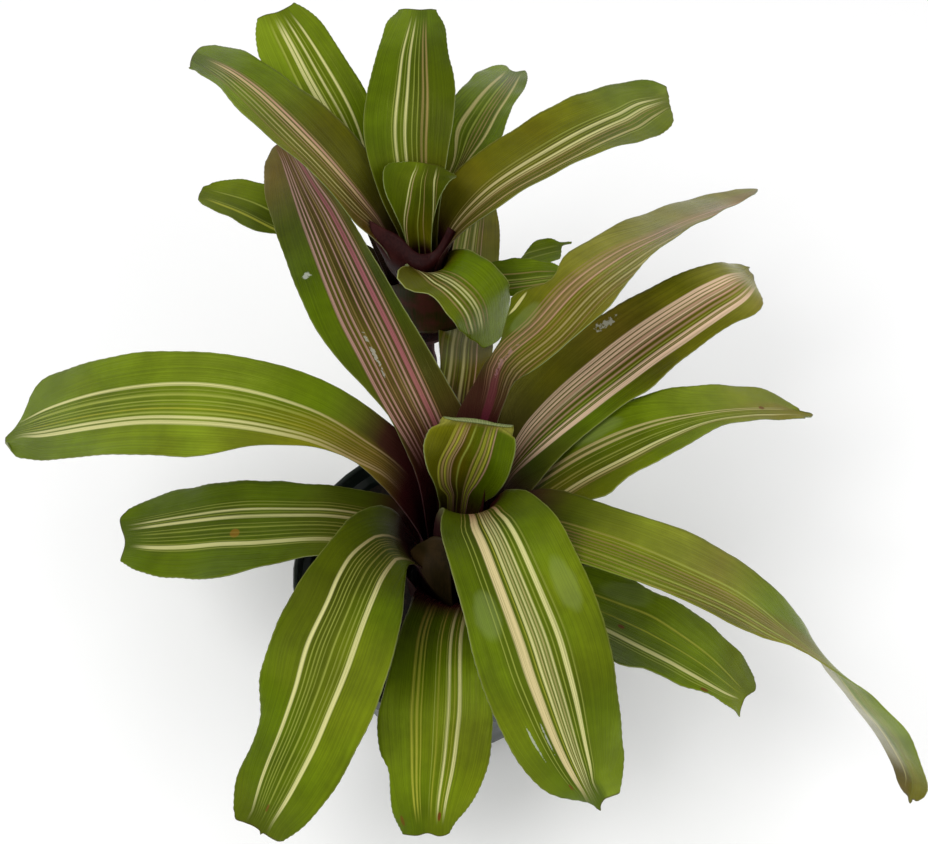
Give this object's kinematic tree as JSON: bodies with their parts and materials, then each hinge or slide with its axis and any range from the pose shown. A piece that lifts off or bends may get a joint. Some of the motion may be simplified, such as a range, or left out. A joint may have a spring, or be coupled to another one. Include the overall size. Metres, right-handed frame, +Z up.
{
  "type": "potted neoregelia",
  "caption": "Striped bromeliad with arching strap leaves and a small offset plant on a short runner, standing in bark in a round tapered nursery pot.",
  "frame": {"origin": "centre of the pot's flat underside", "axes": "+Z up through the pot; -Y faces the viewer of the picture, +X is to their right, and the offset plant stands towards +Y"},
  "size_m": [0.44, 0.3635, 0.2714],
  "materials": {
    "pot_plastic": "dark green-black polypropylene, satin",
    "potting_bark": "damp composted bark, nearly black",
    "stem": "maroon stem with dry bracts, matt",
    "leaf_green": "olive green leaf with lengthwise cream stripes, waxy",
    "leaf_flushed": "leaf flushed brown and red, with pink and cream stripes, waxy",
    "leaf_young": "fresh green leaf with lengthwise cream stripes, waxy"
  },
  "bodies": {
    "root": {"pot": "pot_plastic", "soil": "potting_bark", "main_stem": "stem", "offset_stem": "stem", "main_leaf_01": "leaf_green", "main_leaf_02": "leaf_green", "main_leaf_03": "leaf_green", "main_leaf_04": "leaf_green", "main_leaf_05": "leaf_green", "main_leaf_06": "leaf_green", "main_leaf_07": "leaf_green", "main_leaf_08": "leaf_green", "main_leaf_09": "leaf_flushed", "main_leaf_10": "leaf_flushed", "main_leaf_11": "leaf_green", "main_leaf_12": "leaf_flushed", "main_leaf_13": "leaf_green", "offset_leaf_01": "leaf_young", "offset_leaf_02": "leaf_young", "offset_leaf_03": "leaf_young", "offset_leaf_04": "leaf_young", "offset_leaf_05": "leaf_young", "offset_leaf_06": "leaf_young", "offset_leaf_07": "leaf_young", "offset_leaf_08": "leaf_young", "offset_leaf_09": "leaf_young", "offset_leaf_10": "leaf_young"}
  },
  "joints": []
}
